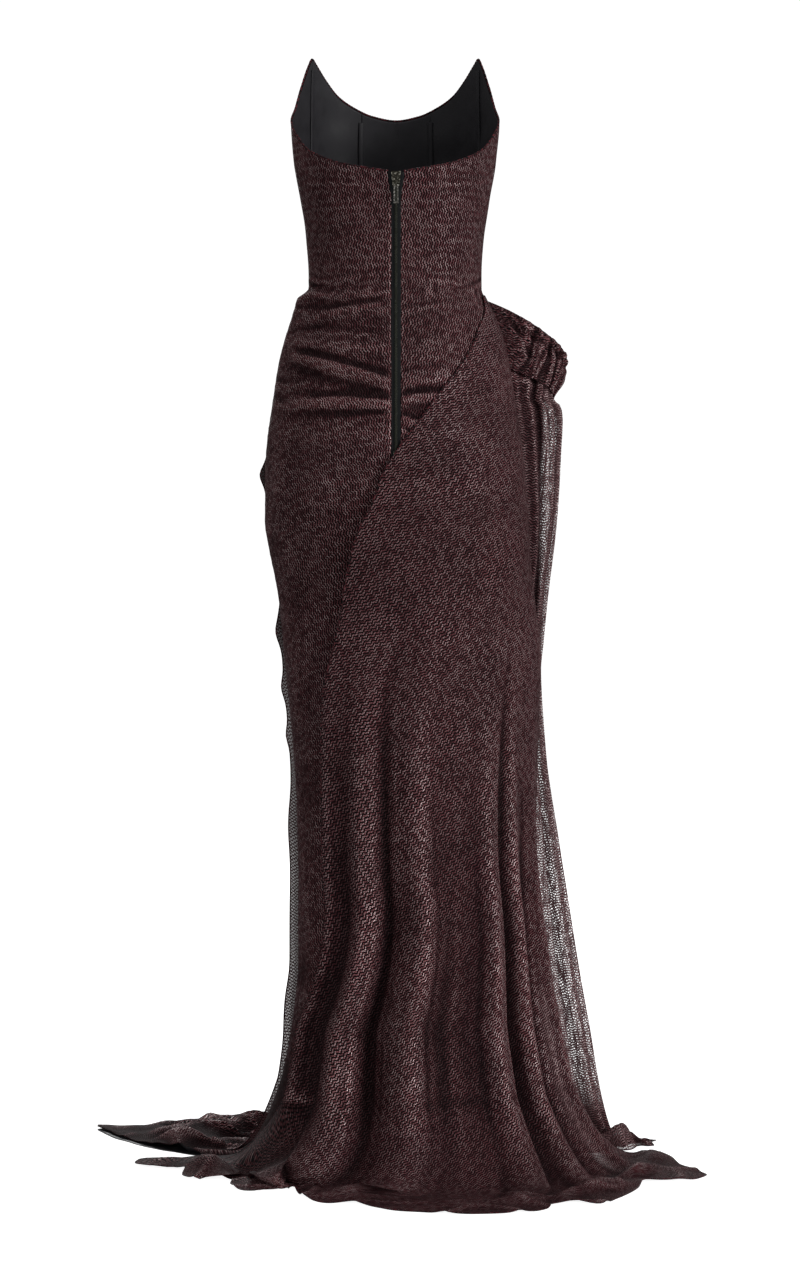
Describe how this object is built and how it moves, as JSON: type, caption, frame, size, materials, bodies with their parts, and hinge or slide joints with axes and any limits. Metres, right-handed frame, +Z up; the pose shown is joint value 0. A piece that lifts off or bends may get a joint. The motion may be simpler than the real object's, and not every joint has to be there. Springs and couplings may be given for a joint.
{
  "type": "strapless gown",
  "caption": "Strapless floor-length gown in sheer glitter mesh with a back zip, a ruched hip, a draped overlay with a train, and a gathered hip ruffle.",
  "frame": {"origin": "middle of the wearer's waist, where the gown is held, 1087.5 mm above the floor its hem meets", "axes": "+Z up, +Y towards the wearer's back, which carries the zip, and -X towards the wearer's right"},
  "size_m": [0.7566, 0.6619, 1.3805],
  "materials": {
    "glitter_mesh": "dark burgundy mesh with metallic threads",
    "black_satin": "black satin",
    "black_tape": "black woven tape and nylon coil",
    "gunmetal": "gunmetal"
  },
  "bodies": {
    "gown": {"bodice_back_right": "glitter_mesh", "bodice_side_right": "glitter_mesh", "bodice_front_right": "glitter_mesh", "bodice_front_centre": "glitter_mesh", "bodice_front_left": "glitter_mesh", "bodice_side_left": "glitter_mesh", "bodice_back_left": "glitter_mesh", "lining_side_right": "black_satin", "lining_front_right": "black_satin", "lining_front_centre": "black_satin", "lining_front_left": "black_satin", "lining_side_left": "black_satin", "bone_channel_side_right": "black_satin", "bone_channel_front_right": "black_satin", "bone_channel_front_left": "black_satin", "bone_channel_side_left": "black_satin", "skirt_front": "glitter_mesh", "skirt_back_right": "glitter_mesh", "skirt_back_left": "glitter_mesh", "hem_lining": "black_satin", "back_drape": "glitter_mesh", "front_drape": "glitter_mesh", "hip_ruffle": "glitter_mesh", "hip_cascade": "glitter_mesh", "zip_tape": "black_tape", "zip_coil": "black_tape", "zip_stop": "gunmetal", "zip_slider": "gunmetal"},
    "pull_tab": {"zip_pull": "gunmetal"}
  },
  "joints": [
    {"name": "zip_pull_swing", "type": "hinge", "parent": "gown", "child": "pull_tab", "pos_m": [0, 0.09564, 0.1216], "axis": [1, 0, 0], "range_deg": [0, 160]}
  ]
}
